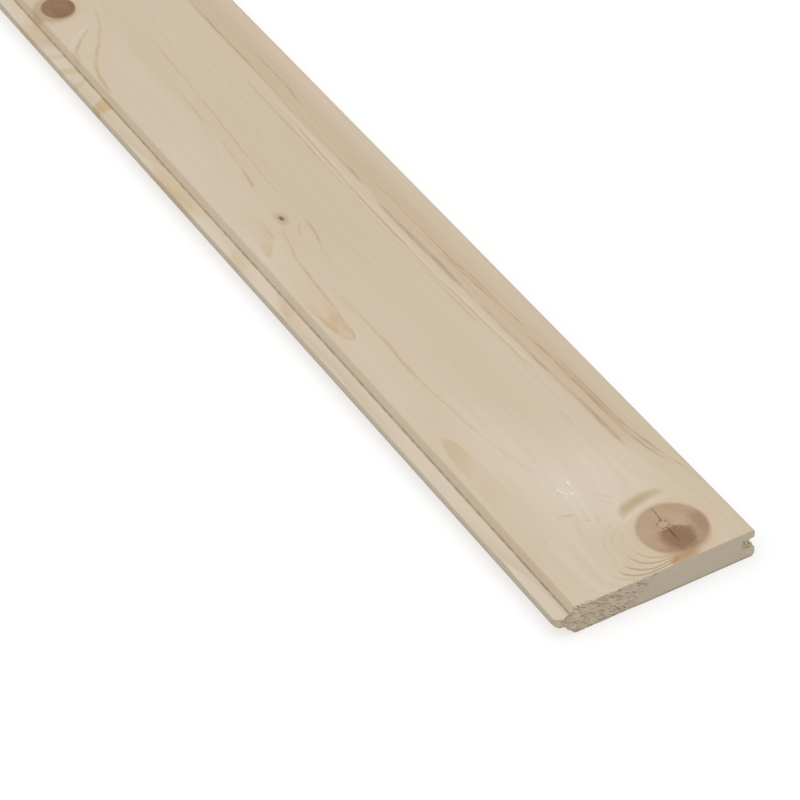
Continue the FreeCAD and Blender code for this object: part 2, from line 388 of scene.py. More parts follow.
face_marks = [
    (swirl, (0.9, 0.9), [(0, -22, 3, 0.8), (12, -28, 4, 0.9), (28, -29, 4, 0.7), (48, -24, 4, 0)]),
    (swirl, (0.9, 0.9), [(0, -33, 2.5, 0.8), (14, -37.5, 3, 0.8), (34, -38.5, 3.5, 0.5), (70, -36, 4, 0)]),
    (swirl, (0.9, 0.9), [(22, -20, 2, 0), (36, -19.5, 2.5, 0.8), (50, -15, 2.5, 0.5), (62, -9, 2, 0)]),
    (soft_line, (0.9, 0.9), [(16, -6.6, 0.6, 0), (20, -7.8, 0.8, 0.25), (26, -8.4, 1.0, 0.2), (31.5, -6, 1.0, 0.4),
                             (35, -2.2, 1.0, 0.4), (38, 3, 0.9, 0.2), (41, 8, 0.8, 0)]),
    (soft_line, (0.9, 0.9), [(13, -12.2, 0.6, 0), (18, -13.4, 1.0, 0.15), (26, -13.4, 1.1, 0.15), (33, -10, 1.1, 0.35),
                             (38, -5, 1.0, 0.35), (42, 1, 0.9, 0.2), (45, 7, 0.8, 0)]),
    (soft_line, (0.9, 0.9), [(14, -1.2, 0.5, 0), (19, -2.6, 0.8, 0.25), (25, -3.0, 0.9, 0.2), (30, -1.0, 0.9, 0.4),
                             (35, 4, 0.7, 0)]),
    (summer_line, (0.9, 0.9), [(40, 58, 0.8, 0.15), (62, 53.8, 0.9, 0.5), (78, 50.0, 1.0, 0.7), (90, 47.8, 1.0, 0.75),
                               (105, 46.2, 1.2, 0.75), (140, 46, 1.0, 0.6), (180, 45.6, 0.8, 0)]),
    (summer_line, (0.9, 0.9), [(60, 52.0, 0.7, 0.2), (70, 49.0, 0.9, 0.5), (85, 45.9, 1.1, 0.75), (100, 44.6, 1.2, 0.85),
                               (130, 43.8, 1.3, 0.9), (165, 43.2, 1.2, 0.85), (180, 42.5, 0.8, 0.6),
                               (200, 41.8, 0.5, 0)]),
    (summer_line, (0.9, 0.9), [(182, 44.4, 0.4, 0), (200, 44.4, 0.5, 0.8), (212, 43.8, 0.5, 0.9),
                               (226, 43.5, 0.5, 0.7), (240, 43.2, 0.5, 0.9), (252, 41.8, 0.5, 0.9),
                               (275, 40.9, 0.45, 0.7), (310, 41, 0.4, 0.5), (350, 40.6, 0.45, 0.5),
                               (390, 41, 0.4, 0)]),
    (summer_line, (0.9, 0.9), [(208, 42.6, 0.4, 0), (225, 41.8, 0.5, 0.8), (240, 40.5, 0.5, 0.9),
                               (256, 39.9, 0.5, 0.7), (275, 38.8, 0.4, 0)]),
    (summer_line, (0.9, 0.9), [(66, 44, 0.9, 0), (90, 38.2, 1.4, 0.6), (103, 37.5, 2.1, 1), (116, 37.6, 1.5, 0.7),
                               (150, 36.2, 0.9, 0.4), (165, 35.5, 1.2, 0.8), (176, 35.4, 1.0, 0.4),
                               (198, 34.8, 1.2, 0.7), (212, 34.7, 1.2, 0.7), (228, 33.9, 0.9, 0.4),
                               (246, 33.3, 1.9, 0.85), (292, 33, 2.0, 0.9), (314, 32.6, 1.6, 0.75),
                               (330, 33.2, 0.7, 0.2)]),
    (summer_line, (0.9, 0.9), [(340, 33.6, 0.6, 0.2), (362, 34.6, 0.8, 0.75), (378, 34.4, 0.8, 0.6),
                               (398, 33.6, 0.6, 0.3), (440, 34.4, 0.7, 0.4), (485, 35.2, 0.8, 0.7),
                               (520, 35.6, 0.8, 0.75), (548, 36, 0.7, 0.5), (600, 36.4, 0.6, 0.5),
                               (680, 37, 0.6, 0)]),
    (summer_line, (0.9, 0.9), [(425, 41, 0.4, 0), (433, 41.8, 1.0, 0.8), (442, 43, 1.1, 0.9), (447, 43.4, 0.5, 0.6),
                               (470, 43.2, 0.45, 0.6), (500, 42.4, 0.4, 0)]),
    (pale_line, (0.9, 0.9), [(140, 32.4, 0.9, 0), (165, 31.3, 1.0, 0.7), (220, 29.4, 1.1, 0.9), (300, 27.7, 1.0, 1),
                             (340, 28.5, 1.0, 1), (390, 30.2, 1.0, 0.9), (420, 31.2, 0.9, 0.5), (455, 32, 0.8, 0)]),
    (soft_line, (0.9, 0.9), [(140, 30.9, 0.6, 0), (165, 29.8, 0.7, 0.6), (220, 27.8, 0.8, 0.9), (300, 26.2, 0.8, 1),
                             (340, 26.9, 0.7, 1), (390, 28.7, 0.7, 0.9), (420, 29.7, 0.6, 0.4), (450, 30.5, 0.5, 0)]),
    (pale_line, (0.9, 0.9), [(240, 25.6, 0.7, 0), (300, 24.9, 0.8, 0.8), (350, 25.5, 0.8, 0.8), (400, 27.1, 0.7, 0.7),
                             (440, 27.9, 0.6, 0)]),
    (soft_line, (0.9, 0.9), [(195, 25.6, 0.5, 0), (228, 24.7, 0.7, 1), (255, 24.1, 0.6, 0.7), (300, 23.7, 0.5, 0.4),
                             (350, 24.3, 0.5, 0.5), (385, 24.9, 0.7, 0.9), (425, 25.3, 0.7, 1),
                             (462, 26.3, 0.6, 0.7), (495, 27, 0.5, 0)]),
    (soft_line, (0.9, 0.9), [(82, -11, 0.8, 0), (100, -15, 1.0, 0.5), (125, -20, 1.1, 0.6), (160, -24, 1.1, 0.6),
                             (182, -25.6, 1.4, 0.9), (200, -26, 1.5, 1), (216, -25, 1.1, 0.9), (250, -25.6, 0.9, 0.5),
                             (300, -26.5, 0.8, 0)]),
    (flame_olive, (0.25, 0.25), [(40, -37, 10, 0), (85, -38, 8, 0.25), (112, -38.8, 6.6, 0.6), (127, -39, 5, 1),
                                 (134, -39.2, 3.4, 1), (138, -39.5, 1.5, 0.9), (140, -39.6, 0.2, 0.6)]),
    (flame_orange, (0.3, 0.3), [(228, -39, 0.2, 0.8), (231, -39.2, 2.0, 1), (237, -39.6, 3.9, 1), (246, -40, 5.0, 0.9),
                                (258, -40, 6.0, 0.5), (275, -39.5, 7.0, 0.3), (305, -38, 8, 0.1), (330, -36, 8, 0)]),
    (olive_line, (0.6, 0.9), [(228, -38.8, 0.4, 0.6), (236, -36.2, 0.8, 0.9), (250, -35, 1.0, 1),
                              (270, -33.2, 1.0, 1), (300, -31, 0.9, 0.9), (314, -28.6, 0.7, 0.7), (328, -25, 0.6, 0.5),
                              (340, -22.6, 0.5, 0)]),
    (olive_line, (0.9, 0.6), [(229, -39.8, 0.4, 0.6), (235, -43.2, 0.8, 0.9), (250, -45, 0.9, 0.8),
                              (264, -46, 0.7, 0.5), (280, -46.6, 0.5, 0)]),
    (flame_olive, (0.2, 0.6), [(311, -43.8, 0.3, 0.8), (316, -41.6, 2.6, 1), (324, -39.2, 5.0, 1), (332, -37, 6.2, 0.7),
                               (345, -37, 7, 0.3), (372, -37, 7, 0)]),
    (olive_line, (0.9, 0.9), [(282, -15.6, 0.6, 0), (298, -15.1, 0.8, 0.7), (312, -12.7, 1.1, 1),
                              (326, -9.5, 1.1, 1), (334, -9.3, 0.7, 0.5), (370, -10.4, 0.7, 0.8), (390, -9.4, 0.7, 0.8),
                              (430, -7, 0.7, 0.7), (460, -5.1, 0.65, 0.7), (510, -3.1, 0.7, 0.6), (560, -1.6, 0.6, 0)]),
    (olive_line, (0.9, 0.5), [(371, -20.2, 0.4, 0.8), (377, -18.8, 1.2, 1), (388, -17, 1.1, 0.9), (400, -15.9, 0.8, 0.6),
                              (430, -14.4, 0.6, 0.5), (452, -13.4, 0.7, 0.7), (475, -12.2, 0.6, 0.3), (505, -11.6, 0.5, 0)]),
    (olive_line, (0.9, 0.9), [(316, -21, 0.5, 0), (324, -17.8, 1.2, 0.6), (331, -14.6, 0.9, 0.5), (337, -13, 0.4, 0)]),
    (olive_line, (0.6, 0.9), [(488, -47.4, 1.0, 0.3), (500, -46.2, 1.4, 0.8), (512, -44.7, 1.6, 0.9),
                              (526, -39.1, 1.8, 0.9), (535.5, -32.1, 1.6, 0.8), (545, -26.6, 1.3, 0.7),
                              (554.5, -21.6, 1.1, 0.7), (568.5, -17.1, 0.9, 0.5), (590, -14, 0.6, 0)]),
    (olive_line, (0.6, 0.9), [(527, -49.2, 1.2, 0.5), (535.5, -46.8, 1.8, 0.9), (541.6, -42.5, 1.8, 0.9),
                              (552.5, -31.5, 1.3, 0.7), (557.5, -26.3, 0.9, 0)]),
    (pale_line, (0.9, 0.9), [(536, -49.5, 1.6, 0), (544.2, -45.8, 2.4, 1), (553, -35.0, 2.2, 1),
                             (561, -24, 1.6, 0.6), (568, -19, 1.2, 0)]),
]

# The same as a route across the board: (across, along, half its width, strength)
even_cross_marks = [
    (far_arc, (0.9, 1.0), [(3, 42.6, 3.0, 0), (7.5, 44.2, 4.6, 0.5), (11, 45.7, 5.4, 0.8), (15.6, 47.1, 5.6, 0.9),
                           (22, 48.4, 5.1, 0.9), (28, 49.0, 4.4, 0.7), (33.2, 48.6, 3.4, 0.5), (39, 46.8, 2.0, 0)]),
    (bark_orange, (0.9, 0.9), [(7, 0.8, 1.8, 0), (11, 1.4, 3.2, 0.9), (16, 2.2, 4.6, 1), (21, 2.4, 4.8, 0.95),
                               (26, 2.6, 4.2, 0.5), (31, 2.8, 3.2, 0)]),
    (arc_line, (0.9, 0.7), [(-17.2, 14.5, 2.6, 0), (-16.5, 10.8, 2.0, 0.5), (-14.7, 6.8, 1.4, 0.9), (-10.7, 3.5, 1.0, 1),
                            (-6, 1.9, 0.8, 1), (-1, 1.3, 0.7, 1), (5, 1.4, 0.65, 1), (11.5, 2.1, 0.6, 1),
                            (15, 3.0, 0.5, 0.6)]),
    (arc_line, (0.9, 0.7), [(-12.9, 17.5, 2.8, 0), (-12.1, 13.2, 2.0, 0.5), (-9.4, 8.2, 1.35, 0.9), (-4.4, 4.7, 0.95, 1),
                            (1.6, 3.0, 0.75, 1), (7, 3.2, 0.65, 1), (11.7, 3.8, 0.6, 1), (15, 4.2, 0.5, 0.7)]),
    (arc_line, (0.9, 0.7), [(-7.2, 22, 3.0, 0), (-6.6, 16.5, 2.2, 0.5), (-4.1, 10.8, 1.3, 0.9), (0, 7.2, 0.9, 1),
                            (5.3, 5.4, 0.7, 1), (11.7, 5.2, 0.6, 1), (15, 5.2, 0.5, 0.6)]),
    (arc_line, (0.9, 0.8), [(-2, 22, 2.6, 0), (-1.2, 17.0, 1.8, 0.5), (1.2, 12.0, 1.1, 0.7), (5.6, 8.6, 0.75, 0.8),
                            (9, 7.1, 0.6, 0.8), (12.5, 6.4, 0.5, 0.5)]),
]
cross_marks = [
    (soft_line, (0.9, 0.8), [(-22.5, 15.5, 2.6, 0), (-21.5, 10.0, 1.8, 0.5), (-18.5, 5.4, 1.2, 0.8), (-14, 2.4, 0.8, 0.8),
                             (-9, 0.4, 0.6, 0.6)]),
    (soft_line, (0.9, 0.9), [(2.0, 65.5, 0.7, 0), (5.0, 62.2, 1.1, 0.7), (9.0, 58.2, 1.2, 0.6), (13.5, 53.6, 0.8, 0)]),
    (soft_line, (0.9, 0.9), [(0.0, 60.5, 0.7, 0), (3.0, 58.0, 1.0, 0.6), (7.5, 54.0, 1.1, 0.45), (10.5, 51.0, 0.8, 0)]),
    (soft_line, (0.9, 0.9), [(-21.5, 59.0, 0.5, 0), (-20.6, 58.2, 0.9, 1), (-16.6, 57.0, 1.0, 1), (-12.0, 55.2, 0.7, 0)]),
    (soft_line, (0.9, 0.9), [(-6.4, 47.4, 0.6, 0), (-4.2, 46.8, 1.1, 0.6), (-1.8, 45.4, 0.8, 0)]),
    (soft_line, (0.9, 0.9), [(-12.2, 50.4, 0.6, 0), (-9.6, 49.2, 1.1, 0.6), (-7.0, 47.2, 0.8, 0)]),
    (soft_line, (0.9, 0.9), [(-15.6, 56.6, 0.4, 0), (-13.6, 56.0, 0.9, 0.8), (-11.4, 54.4, 0.5, 0)]),
    (soft_line, (0.9, 0.9), [(-11.0, 27.5, 0.5, 0), (-6.0, 31.5, 0.8, 0.5), (0.5, 37.5, 0.6, 0)]),
    (soft_line, (0.9, 0.9), [(-8.0, 35.5, 0.5, 0), (-3.5, 38.5, 0.9, 0.6), (2.0, 43.0, 0.6, 0)]),
    (pale_line, (0.9, 0.9), [(3, 35.5, 1.4, 0), (8, 39.4, 1.7, 1), (14, 42.0, 1.8, 1), (24, 43.8, 1.8, 1),
                             (34, 43.6, 1.5, 0.6), (40, 40, 1.0, 0)]),
]

tongue_marks = [
    (flame_orange, (0.5, 0.6), [(-60, 486, 6, 1), (-50, 490, 8, 1)]),
    (flame_olive, (0.6, 0.6), [(-60, 513, 3, 0.7), (-50, 516, 3, 0.7)]),
    (flame_olive, (0.6, 0.6), [(-60, 531, 4, 0.7), (-50, 527, 5, 1)]),
    (flame_olive, (0.6, 0.6), [(-60, 548, 3, 0.5), (-50, 543.5, 3.5, 0.9)]),
    (flame_olive, (0.7, 0.7), [(-60, 574, 17, 0.9), (-50, 569, 19, 0.9)]),
    (flame_orange, (0.7, 0.7), [(-60, 396, 32, 0.7), (-50, 402, 38, 0.5)]),
    (flame_olive, (0.7, 0.7), [(-60, 324, 10, 0.6), (-50, 327, 12, 0.5)]),
    (flame_olive, (0.7, 0.7), [(-60, 272, 8, 0.4), (-50, 276, 9, 0.4)]),
]
pale_tongue = (1.04, 1.09, 1.16)

# The planed finish: bare spruce, cream with a little pink, dead flat along the board and
# faintly silky from the planer's knives. It is never oiled or waxed. Shade is painted into
# its crease and along the sides of its tongue and groove edge.
planed_cream = (0.622, 0.516, 0.388, 1.0)
knife_pitch = 1.6


def spruce_colour(tree, point, bent, rings):
    """Bare spruce with its clouds, fibres and growth rings."""
    clouds = grain_noise(tree, bent, 22.0, 260.0, 22.0, detail=1.0)
    fibres = grain_noise(tree, bent, 0.55, 30.0, 0.55, detail=3.0, roughness=0.6)
    broad = grain_noise(tree, bent, 2.2, 90.0, 2.2, detail=2.0)
    wood = stain(tree, planed_cream, ease(tree, clouds, 0.3, 0.7, 0.0, 1.0), (0.975, 0.967, 0.950))
    wood = stain(tree, wood, ease(tree, broad, 0.35, 0.7, 0.0, 0.5), (0.965, 0.952, 0.935))
    wood = stain(tree, wood, ease(tree, fibres, 0.3, 0.75, 0.0, 0.5), (0.955, 0.940, 0.920))
    return stain(tree, wood, rings, (0.80, 0.70, 0.56))


def new_finish(name, roughness):
    """A new material, with its node tree and shader."""
    finish = bpy.data.materials.new(name)
    finish.use_nodes = True
    shader = finish.node_tree.nodes["Principled BSDF"]
    shader.inputs["Roughness"].default_value = roughness
    shader.inputs["Specular IOR Level"].default_value = 0.35
    return finish, finish.node_tree, shader


planed_spruce, tree, shader = new_finish("planed_spruce", 0.55)
point = board_point(tree)
place = put(tree, "ShaderNodeSeparateXYZ", {0: point}).outputs
bent = bend_grain(tree, point)
rings = put(tree, "ShaderNodeGroup", {"Point": bent}, node_tree=growth_rings).outputs["Latewood"]
on_face = ease(tree, place[2], board_thickness - 5.2, board_thickness - 4.8)
quiet = work_out(tree, "MULTIPLY", on_face, ease(tree, place[1], 700.0, 560.0))
ring_show = work_out(tree, "MULTIPLY", rings, ease(tree, quiet, 0.0, 1.0, 0.5, 0.09, "LINEAR"))
wood = spruce_colour(tree, point, bent, ring_show)
drift = grain_noise(tree, point, 4.0, 20.0, 4.0)
unsteady_across = work_out(tree, "ADD", place[0], ease(tree, drift, 0.25, 0.75, -0.6, 0.6, "LINEAR"))
unsteady_along = work_out(tree, "ADD", place[1], ease(tree, drift, 0.25, 0.75, -0.2, 0.2, "LINEAR"))
broken = ease(tree, grain_noise(tree, point, 5.0, 16.0, 5.0, detail=3.0), 0.34, 0.6, 0.5, 1.12)
shown = work_out(tree, "MULTIPLY", on_face, broken)
on_tongue = work_out(tree, "MULTIPLY", ease(tree, place[2], 12.8, 12.65), ease(tree, place[0], -50.2, -50.6))
on_tongue = work_out(tree, "MULTIPLY", on_tongue, ease(tree, place[2], 6.0, 6.6))
wood = stain(tree, wood, on_tongue, pale_tongue)
for marks, lengthwise, aside, where in (
        (even_face_marks, place[1], unsteady_across, on_face),
        (even_cross_marks, place[0], unsteady_along, on_face),
        (face_marks, place[1], unsteady_across, shown),
        (cross_marks, place[0], unsteady_along, shown),
        (tongue_marks, place[0], unsteady_along, on_tongue)):
    for shade, soft, steps in marks:
        cover = mark(tree, lengthwise, aside, steps, soft)
        wood = stain(tree, wood, work_out(tree, "MULTIPLY", cover, where), shade)
# A thin dark line along the crease at the tongue's root, broken up by noise: painted shade, with a little dust.
crease_shade = work_out(tree, "MULTIPLY", ease(tree, place[2], 13.5, 12.9), ease(tree, place[0], -51.3, -50.7))
crease_shade = work_out(tree, "MULTIPLY", crease_shade, ease(tree, place[0], -49.0, -49.6))
crease_shade = work_out(tree, "MULTIPLY", crease_shade, ease(tree, place[2], 11.0, 11.8))
nicks = grain_noise(tree, point, 3.0, 5.0, 3.0)
wood = stain(tree, wood, work_out(tree, "MULTIPLY", crease_shade, ease(tree, nicks, 0.4, 0.6, 0.6, 1.0)),
             (0.63, 0.58, 0.52))
# Painted shade on the tongue's tip side, which faces away from the light.
tongue_side_shade = work_out(tree, "MULTIPLY", ease(tree, place[0], -58.2, -59.1), ease(tree, place[2], 12.6, 12.0))
wood = stain(tree, wood, tongue_side_shade, (0.78, 0.785, 0.76))
# Painted shade under the tongue's tip, a dark line along its lower rounded edge.
tip_under_shade = work_out(tree, "MULTIPLY", ease(tree, place[0], -57.5, -58.3), ease(tree, place[2], 9.9, 8.9))
wood = stain(tree, wood, tip_under_shade, (0.62, 0.60, 0.58))
# Painted shade on the groove side's rounded top edge, greyer where it turns down from the light.
lip_edge_shade = work_out(tree, "MULTIPLY", ease(tree, place[0], 57.2, 58.2), ease(tree, place[2], 15.0, 16.0))
wood = stain(tree, wood, lip_edge_shade, (0.92, 0.94, 0.98))
# Painted shade on the side of the groove side's upper lip, which faces away from the light.
lip_side_shade = work_out(tree, "MULTIPLY", ease(tree, place[0], 58.0, 58.6), ease(tree, place[2], 17.5, 16.9))
wood = stain(tree, wood, lip_side_shade, (0.80, 0.80, 0.80))
wood, end_knot = lay_knots(tree, point, wood)
tree.links.new(wood, shader.inputs["Base Color"])
fibres = grain_noise(tree, bent, 0.5, 22.0, 0.5, detail=3.0)
knives = work_out(tree, "SINE", work_out(tree, "MULTIPLY", place[1], 2 * math.pi / knife_pitch))
height = work_out(tree, "MULTIPLY_ADD", knives, 0.03, fibres)
bump = put(tree, "ShaderNodeBump", {"Strength": 0.25, "Distance": 0.00008, "Height": height})
tree.links.new(bump.outputs[0], shader.inputs["Normal"])
tree.links.new(ease(tree, end_knot["Inside"], 0.0, 1.0, 0.56, 0.40, "LINEAR"), shader.inputs["Roughness"])

# The sawn ends: end grain, greyer than the face. On the tongue side the saw tore the
# soft wood and left it rough, in slanted streaks, and on the other side it cut clean.
# Shade is painted into its pits, and a shadow along its bottom edge.
fibre_slant = math.radians(24)
clean_slant = 0.75  # how far the clean part gains on the rough one per millimetre down
sawn_spruce, tree, shader = new_finish("sawn_spruce", 0.75)
point = board_point(tree)
place = put(tree, "ShaderNodeSeparateXYZ", {0: point}).outputs
rings = put(tree, "ShaderNodeGroup", {"Point": point}, node_tree=growth_rings).outputs["Latewood"]
patches = grain_noise(tree, point, 6.0, 20.0, 4.0, detail=2.0)
torn = put(tree, "ShaderNodeAttribute", attribute_name="torn").outputs["Fac"]
below_face = work_out(tree, "SUBTRACT", board_thickness, place[2])
rough_part = ease(tree, work_out(tree, "MULTIPLY_ADD", below_face, clean_slant, place[0]), 6.0, -6.0)
saw_slant = (0.0, -fibre_slant, 0.0)
slanted = put(tree, "ShaderNodeMapping", {"Vector": point, "Rotation": saw_slant}).outputs[0]
saw_lines = grain_noise(tree, slanted, 9.0, 9.0, 0.35, detail=2.0)
streaks = grain_noise(tree, slanted, 4.6, 4.0, 0.32, detail=3.0, roughness=0.55)
wood = stain(tree, (0.524, 0.452, 0.355, 1.0), work_out(tree, "MULTIPLY", rings, 0.22), (0.88, 0.82, 0.74))
wood = stain(tree, wood, ease(tree, patches, 0.35, 0.7, 0.0, 1.0), (0.975, 0.955, 0.93))
wood = stain(tree, wood, ease(tree, saw_lines, 0.35, 0.65, 0.0, 0.7), (0.95, 0.94, 0.93))
wood = stain(tree, wood, rough_part, (1.07, 1.05, 1.02))
dark_streaks = work_out(tree, "MULTIPLY", ease(tree, streaks, 0.52, 0.66), ease(tree, rough_part, 0.0, 1.0, 0.05, 1.0))
wood = stain(tree, wood, dark_streaks, (0.68, 0.61, 0.53))
pale_streaks = work_out(tree, "MULTIPLY", ease(tree, streaks, 0.47, 0.34), ease(tree, rough_part, 0.0, 1.0, 0.0, 0.9))
wood = stain(tree, wood, pale_streaks, (1.28, 1.25, 1.19))
broken_root = work_out(tree, "MULTIPLY", ease(tree, place[0], -49.5, -52.5), ease(tree, place[0], -57.5, -55.5))
wood = stain(tree, wood, broken_root, (0.86, 0.82, 0.77))
# The pits darker by their depth: their own browner torn wood, with painted shade in the recesses.
wood = stain(tree, wood, ease(tree, torn, 0.15, 0.95), (0.54, 0.46, 0.38))
wood = stain(tree, wood, ease(tree, place[0], -56.7, -57.6, 0.0, 0.9), (0.92, 0.88, 0.82))
# A fuzzy dark band along the bottom of the sawn end: painted shadow where the board meets the floor.
fuzz = grain_noise(tree, point, 0.5, 0.5, 1.2, detail=2.0)
bottom_shadow_edge = work_out(tree, "ADD", place[2], ease(tree, fuzz, 0.3, 0.7, -0.5, 0.5, "LINEAR"))
wood = stain(tree, wood, ease(tree, bottom_shadow_edge, 1.6, 0.3, 0.0, 0.85), (0.62, 0.60, 0.57))
tree.links.new(wood, shader.inputs["Base Color"])
height = work_out(tree, "MULTIPLY_ADD", saw_lines, 0.25,
                  work_out(tree, "MULTIPLY", streaks, ease(tree, rough_part, 0.0, 1.0, -0.2, -1.4)))
bump = put(tree, "ShaderNodeBump", {"Strength": 0.5, "Distance": 0.0003, "Height": height})
tree.links.new(bump.outputs[0], shader.inputs["Normal"])

# The board itself: the moulded section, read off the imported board's own near end, and
# run out to its length. Its rows crowd towards the near end, where the surface has its
# relief, and its two ends are closed.
rim_gap = 0.02  # millimetres; rim corners nearer than this are one
rough_side = (-59.5, 4.0)
clean_side = (4.0, 59.5)
rough_pitch = 0.34
clean_pitch = 0.9
rows = 150
row_crowding = 0.055
row_power = 10.0


def section_rim():
    """Corners of the section in order round it, as (across, up) in millimetres."""
    shell = bmesh.new()
    shell.from_mesh(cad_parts["board"].data)
    bmesh.ops.remove_doubles(shell, verts=shell.verts, dist=rim_gap * millimetre / 10)
    near = min(corner.co.y for corner in shell.verts)
    at_end = {corner for corner in shell.verts if abs(corner.co.y - near) < rim_gap * millimetre}

    def is_rim(edge):
        flat = sorted(abs(plane.normal.y) > 0.9 for plane in edge.link_faces)
        return set(edge.verts) <= at_end and flat == [False, True]

    start = min(at_end, key=lambda corner: (corner.co.x, corner.co.z))
    rim, last = [start], None
    while True:
        steps = [edge for edge in rim[-1].link_edges if is_rim(edge) and edge is not last]
        last = steps[0]
        follow = last.other_vert(rim[-1])
        if follow is start:
            break
        rim.append(follow)
    corners = [(corner.co.x / millimetre, corner.co.z / millimetre) for corner in rim]
    shell.free()
    return corners


def face_pitch(across):
    """Spacing of the face's lengthwise lines: finest at the end knot's check."""
    if 21.2 < across < 24.4:
        return 0.16
    if across < 14.0:
        return 0.8
    if across < 44.0:
        return 1.1
    return 3.0


def filled_rim(corners):
    """The rim with more corners along its long flats, closer where there is relief."""
    filled = []
    for here, following in zip(corners, corners[1:] + corners[:1]):
        run, rise = following[0] - here[0], following[1] - here[1]
        length = math.hypot(run, rise)
        on_face = min(here[1], following[1]) > board_thickness - rim_gap
        travel = 0.0
        while travel < length - 0.1:
            across = here[0] + run * travel / length
            filled.append((across, here[1] + rise * travel / length))
            pitch = face_pitch(across) if on_face else (1.2 if across < rough_side[1] else 3.0)
            rest = length - travel
            travel += pitch if rest > 1.5 * pitch else rest
    return filled


rim = filled_rim(section_rim())
chance = np.random.default_rng(7)
inner = []
for (low, high), pitch in ((rough_side, rough_pitch), (clean_side, clean_pitch)):
    for up in np.arange(pitch / 2, board_thickness, pitch):
        for across in np.arange(low + pitch / 2, high, pitch):
            inner.append((across, up))
inner = np.array(inner) + chance.uniform(-0.1, 0.1, (len(inner), 2))
outline = np.array(rim)
ends = np.roll(outline, -1, axis=0)


def gap_to_rim(spots):
    """Distance from each spot to the section's rim, in millimetres."""
    best = np.full(len(spots), 1e9)
    for (ax, az), (bx, bz) in zip(outline, ends):
        step = np.array((bx - ax, bz - az))
        share = np.clip(((spots - (ax, az)) @ step) / (step @ step), 0, 1)
        best = np.minimum(best, np.linalg.norm(spots - (ax, az) - share[:, None] * step, axis=1))
    return best


inner = inner[gap_to_rim(inner) > rough_pitch * 0.5]
flat_points = [Vector(spot) for spot in rim] + [Vector(spot) for spot in inner]
loop = list(range(len(rim)))
flat, _, faces, _, _, _ = delaunay_2d_cdt(flat_points, [], [loop], 1, 1e-7)
near_y = board_low.y
used = sorted({corner for face in faces for corner in face})
order = {corner: number for number, corner in enumerate(used)}
cap = bpy.data.meshes.new("board_section")
cap.from_pydata([(flat[c].x * millimetre, near_y, flat[c].y * millimetre) for c in used], [],
                [[order[c] for c in face] for face in faces])
board_wood = bpy.data.objects.new("board_wood", cap)
bpy.context.scene.collection.objects.link(board_wood)

run_out = bpy.data.node_groups.new("run_out_section", "GeometryNodeTree")
run_out.interface.new_socket("Section", in_out="INPUT", socket_type="NodeSocketGeometry")
for title, kind in {"Rim corners": "Int", "Rows": "Int", "Length": "Float", "Crowding": "Float",
                    "Crowding power": "Float", "Planed": "Material", "Sawn": "Material"}.items():
    run_out.interface.new_socket(title, in_out="INPUT", socket_type="NodeSocket" + kind)
run_out.interface.new_socket("Board", in_out="OUTPUT", socket_type="NodeSocketGeometry")
given = run_out.nodes.new("NodeGroupInput").outputs
columns = work_out(run_out, "ADD", given["Rim corners"], 1.0)
skin = put(run_out, "GeometryNodeMeshGrid", {"Vertices X": columns, "Vertices Y": given["Rows"]}).outputs["Mesh"]
number = put(run_out, "GeometryNodeInputIndex").outputs[0]
column = work_out(run_out, "FLOOR", work_out(run_out, "DIVIDE", number, given["Rows"]))
row = work_out(run_out, "SUBTRACT", number, work_out(run_out, "MULTIPLY", column, given["Rows"]))
corner = work_out(run_out, "MODULO", column, given["Rim corners"])
rim_place = put(run_out, "GeometryNodeSampleIndex", {
    "Geometry": given["Section"], "Index": corner}, data_type="FLOAT_VECTOR", domain="POINT")
run_out.links.new(put(run_out, "GeometryNodeInputPosition").outputs[0], rim_place.inputs["Value"])
share = work_out(run_out, "DIVIDE", row, work_out(run_out, "SUBTRACT", given["Rows"], 1.0))
slow = work_out(run_out, "MULTIPLY", share, given["Crowding"])
fast = work_out(run_out, "MULTIPLY", work_out(run_out, "POWER", share, given["Crowding power"]),
                work_out(run_out, "SUBTRACT", 1.0, given["Crowding"]))
travel = work_out(run_out, "MULTIPLY", work_out(run_out, "ADD", slow, fast), given["Length"])
shift = put(run_out, "ShaderNodeCombineXYZ", {1: travel}).outputs[0]
target = put(run_out, "ShaderNodeVectorMath", {0: rim_place.outputs[0], 1: shift}, operation="ADD").outputs[0]
skin = put(run_out, "GeometryNodeSetPosition", {"Geometry": skin, "Position": target}).outputs[0]
far_shift = put(run_out, "ShaderNodeCombineXYZ", {1: given["Length"]}).outputs[0]
far_end = put(run_out, "GeometryNodeTransform", {"Geometry": given["Section"], "Translation": far_shift}).outputs[0]
far_end = put(run_out, "GeometryNodeFlipFaces", {"Mesh": far_end}).outputs[0]
closed = put(run_out, "GeometryNodeJoinGeometry")
for part in (given["Section"], skin, far_end):
    run_out.links.new(part, closed.inputs[0])
whole = put(run_out, "GeometryNodeMergeByDistance", {"Geometry": closed.outputs[0], "Distance": 0.000002}).outputs[0]
whole = put(run_out, "GeometryNodeRealizeInstances", {"Geometry": whole}).outputs[0]
whole = put(run_out, "GeometryNodeSetMaterial", {"Geometry": whole, "Material": given["Planed"]}).outputs[0]
facing = put(run_out, "ShaderNodeSeparateXYZ", {0: put(run_out, "GeometryNodeInputNormal").outputs[0]}).outputs[1]
endwise = put(run_out, "FunctionNodeCompare", {0: work_out(run_out, "ABSOLUTE", facing), 1: 0.9},
              data_type="FLOAT", operation="GREATER_THAN").outputs[0]
whole = put(run_out, "GeometryNodeSetMaterial", {
    "Geometry": whole, "Selection": endwise, "Material": given["Sawn"]}).outputs[0]
run_out.links.new(whole, run_out.nodes.new("NodeGroupOutput").inputs[0])


